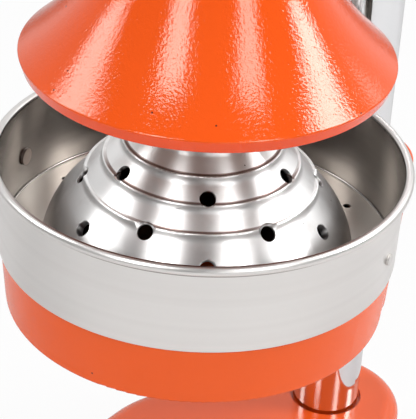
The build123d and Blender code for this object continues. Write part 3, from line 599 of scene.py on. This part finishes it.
def zinc_fasteners():
    """Zinc plate with a fine grain."""
    shades = ((0.56, 0.57, 0.60, 1.0), (0.70, 0.70, 0.70, 1.0))
    grain_top = 0.8
    material, tree, shader, place = new_material("zinc_fasteners", metallic=1.0)
    grain = add(tree, "ShaderNodeTexVoronoi", Vector=place, Scale=900.0).outputs["Distance"]
    set_colour(tree, shader, blend_colours(tree, grain, *shades))
    set_roughness(tree, shader, ramp(tree, grain, 0.0, grain_top, 0.26, 0.40))
    return material


def bush_bronze():
    shades = ((0.42, 0.22, 0.09, 1.0), (0.62, 0.36, 0.16, 1.0))
    return handled("bush_bronze", 120.0, shades, (0.24, 0.40), metallic=1.0)[0]


def black_rubber():
    shades = ((0.012, 0.012, 0.012, 1.0), (0.045, 0.043, 0.040, 1.0))
    material, tree, shader, place = handled("black_rubber", 90.0, shades, (0.60, 0.80))
    grain = add(tree, "ShaderNodeTexNoise", Vector=place, Scale=1400.0, Detail=2.0).outputs["Fac"]
    set_bump(tree, shader, grain, 0.4, 0.0001)
    return material


def black_plastic():
    shades = ((0.012, 0.012, 0.013, 1.0), (0.028, 0.027, 0.027, 1.0))
    material, tree, shader, place = handled("black_plastic", 40.0, shades, (0.32, 0.50))
    pores = add(tree, "ShaderNodeTexVoronoi", Vector=place, Scale=1100.0).outputs["Distance"]
    set_bump(tree, shader, pores, 0.3, 0.00008)
    return material


finishes = {
    make.__name__: make()
    for make in (
        orange_paint,
        bell_paint,
        base_paint,
        column_chrome,
        bowl_steel,
        rivet_steel,
        turned_aluminium,
        machined_steel,
        zinc_fasteners,
        bush_bronze,
        black_rubber,
        black_plastic,
    )
}
own_finish = {"press_bell": "bell_paint", "base_casting": "base_paint", "bowl_rivets": "rivet_steel"}


def dress_cad_nodes():
    """Each CAD node takes the finish of its slot in the record, or its own variant of the same material."""
    slot_of = {entry["node"]: entry["material_slot"] for entry in frame["record"]["subparts"]}
    for name, piece in nodes.items():
        piece.data.materials.clear()
        piece.data.materials.append(finishes[own_finish.get(name, slot_of[name])])


dress_cad_nodes()


# Pieces modelled here in the place of CAD nodes
def arc(centre, radius, start, end, steps):
    """Points along an arc in the plane of radius and height."""
    turns = [start + (end - start) * index / steps for index in range(steps + 1)]
    return [(centre[0] + radius * cos(turn), centre[1] + radius * sin(turn)) for turn in turns]


def spin_up(name, outline, turns):
    """Draws a closed outline of radii and heights point by point and spins it round the press axis."""
    bpy.ops.object.select_all(action="DESELECT")
    bpy.ops.mesh.primitive_plane_add(size=seed_side, location=(0.0, 0.0, 0.0))
    piece = bpy.context.active_object
    piece.name = name
    points = [Vector((press_axis.x + radius, press_axis.y, height)) for radius, height in outline]
    bpy.ops.object.mode_set(mode="EDIT")
    bpy.ops.mesh.select_all(action="SELECT")
    bpy.ops.mesh.merge(type="CENTER")
    bpy.ops.transform.translate(value=points[0])
    for before, after in zip(points, points[1:] + points[:1]):
        bpy.ops.mesh.extrude_vertices_move(TRANSFORM_OT_translate={"value": after - before})
    bpy.ops.mesh.select_all(action="SELECT")
    bpy.ops.mesh.remove_doubles(threshold=weld_distance)
    bpy.ops.mesh.select_all(action="SELECT")
    bpy.ops.mesh.spin(
        steps=turns,
        angle=2 * pi,
        center=(press_axis.x, press_axis.y, 0.0),
        axis=(0.0, 0.0, 1.0),
    )
    bpy.ops.mesh.select_all(action="SELECT")
    bpy.ops.mesh.remove_doubles(threshold=weld_distance)
    bpy.ops.mesh.normals_make_consistent(inside=False)
    bpy.ops.object.mode_set(mode="OBJECT")
    return piece


def cut_away(piece, tools):
    """Takes the tools' space out of the piece for good."""
    for tool in tools:
        cut = piece.modifiers.new("cut", "BOOLEAN")
        cut.operation = "DIFFERENCE"
        cut.solver = "EXACT"
        cut.object = tool
        bpy.ops.object.select_all(action="DESELECT")
        bpy.context.view_layer.objects.active = piece
        piece.select_set(True)
        bpy.ops.object.modifier_apply(modifier=cut.name)
        bpy.data.objects.remove(tool, do_unlink=True)


def make_steel_bowl():
    """The bowl as one sheet: floor with drain holes, wall, and a rolled bead round the rim."""
    bead = (bowl_rim_radius - sheet + bead_radius, bowl_rim_height)
    seam = pi + acos((bead_radius - sheet) / bead_radius)
    foot = (bowl_foot_radius - bowl_outer_corner, bowl_low.z + bowl_outer_corner)
    hollow = (bowl_foot_radius - sheet - bowl_inner_corner, bowl_floor_height + bowl_inner_corner)
    outline = [(bowl_opening_radius, bowl_low.z)]
    outline += arc(foot, bowl_outer_corner, -pi / 2, 0.0, outer_corner_steps)
    outline += arc(bead, bead_radius, seam, 3 * pi, bead_steps)
    outline += arc(hollow, bowl_inner_corner, 0.0, -pi / 2, inner_corner_steps)
    outline += [(bowl_opening_radius, bowl_floor_height)]
    bowl = spin_up("spun_bowl", outline, bowl_turns)
    drills = []
    for index in range(floor_hole_count):
        turn = floor_hole_turn + index * 2 * pi / floor_hole_count
        place = press_axis + floor_hole_circle * Vector((sin(turn), -cos(turn), 0.0))
        bpy.ops.object.select_all(action="DESELECT")
        bpy.ops.mesh.primitive_cylinder_add(
            vertices=drill_sides,
            radius=floor_hole_radius,
            depth=drill_length,
            location=(place.x, place.y, bowl_floor_height),
        )
        drills.append(bpy.context.active_object)
    cut_away(bowl, drills)
    bpy.ops.object.shade_smooth_by_angle(angle=smooth_limit)
    bowl.data.materials.append(finishes["bowl_steel"])
    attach(bowl, "stand")
    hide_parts("steel_bowl")


make_steel_bowl()


# Studio: floor, world, lamps and camera
def make_floor():
    """Grey paper that takes the shadow and looks near white to the camera."""
    bpy.ops.mesh.primitive_plane_add(size=2 * floor_half_side, location=(0.0, 0.0, 0.0))
    floor = bpy.context.active_object
    floor.name = "studio_floor"
    material = bpy.data.materials.new("studio_floor")
    material.use_nodes = True
    tree = material.node_tree
    tree.nodes.clear()
    paper = add(tree, "ShaderNodeBsdfDiffuse", Color=(floor_grey, floor_grey, floor_grey, 1.0))
    glow = add(tree, "ShaderNodeEmission", Color=white, Strength=1.0)
    path = tree.nodes.new("ShaderNodeLightPath").outputs
    share = blend_values(tree, path["Is Camera Ray"], 0.0, floor_white_for_camera)
    mix = add(tree, "ShaderNodeMixShader", Fac=share)
    tree.links.new(paper.outputs[0], mix.inputs[1])
    tree.links.new(glow.outputs[0], mix.inputs[2])
    end = tree.nodes.new("ShaderNodeOutputMaterial")
    tree.links.new(mix.outputs[0], end.inputs["Surface"])
    floor.data.materials.append(material)


def make_world():
    """White to the eye; polished faces see a pale sweep behind the press and a darker room before it."""
    world = bpy.data.worlds.new("studio")
    bpy.context.scene.world = world
    world.use_nodes = True
    tree = world.node_tree
    background = tree.nodes["Background"]
    background.inputs["Color"].default_value = white
    direction = tree.nodes.new("ShaderNodeTexCoord").outputs["Generated"]
    room = (sin(camera_heading), -cos(camera_heading), 0.0)
    to_room = vectors(tree, "DOT_PRODUCT", direction, room)["Value"]
    sweep = ramp(tree, to_room, sweep_full, sweep_end, gloss_from_behind, gloss_from_the_room)
    path = tree.nodes.new("ShaderNodeLightPath").outputs
    seen = compute(tree, "MAXIMUM", path["Is Camera Ray"], path["Is Transmission Ray"])
    strength = blend_values(tree, path["Is Glossy Ray"], world_for_light, sweep)
    strength = blend_values(tree, seen, strength, world_for_camera)
    tree.links.new(strength, background.inputs["Strength"])


def make_lamp(name, azimuth, elevation, distance, width, tall, power):
    """A soft box round the press, turned to the fruit; azimuth runs from the front to the right."""
    light = bpy.data.lights.new(name, "AREA")
    light.shape = "RECTANGLE"
    light.size = width
    light.size_y = tall
    light.energy = power
    lamp = bpy.data.objects.new(name, light)
    bpy.context.scene.collection.objects.link(lamp)
    target = Vector((press_axis.x, press_axis.y, lamp_target_height))
    turn = radians(azimuth)
    rise = radians(elevation)
    away = Vector((sin(turn) * cos(rise), -cos(turn) * cos(rise), sin(rise)))
    lamp.location = target + away * distance
    lamp.rotation_euler = away.to_track_quat("Z", "Y").to_euler()


def make_camera():
    camera = bpy.data.cameras.new("photo_camera")
    camera.sensor_fit = "VERTICAL"
    camera.sensor_height = sensor_side
    camera.lens = focal_length_in_pixels / image_height * sensor_side
    holder = bpy.data.objects.new("photo_camera", camera)
    bpy.context.scene.collection.objects.link(holder)
    turn = Matrix.Rotation(camera_heading, 4, "Z") @ Matrix.Rotation(pi / 2 - camera_tilt_down, 4, "X")
    turn = turn @ Matrix.Rotation(camera_roll, 4, "Z")
    holder.location = camera_place
    holder.rotation_euler = turn.to_euler()
    bpy.context.scene.camera = holder


make_floor()
make_world()
for lamp_values in lamps:
    make_lamp(*lamp_values)
make_camera()
bpy.context.scene.view_settings.view_transform = "Standard"
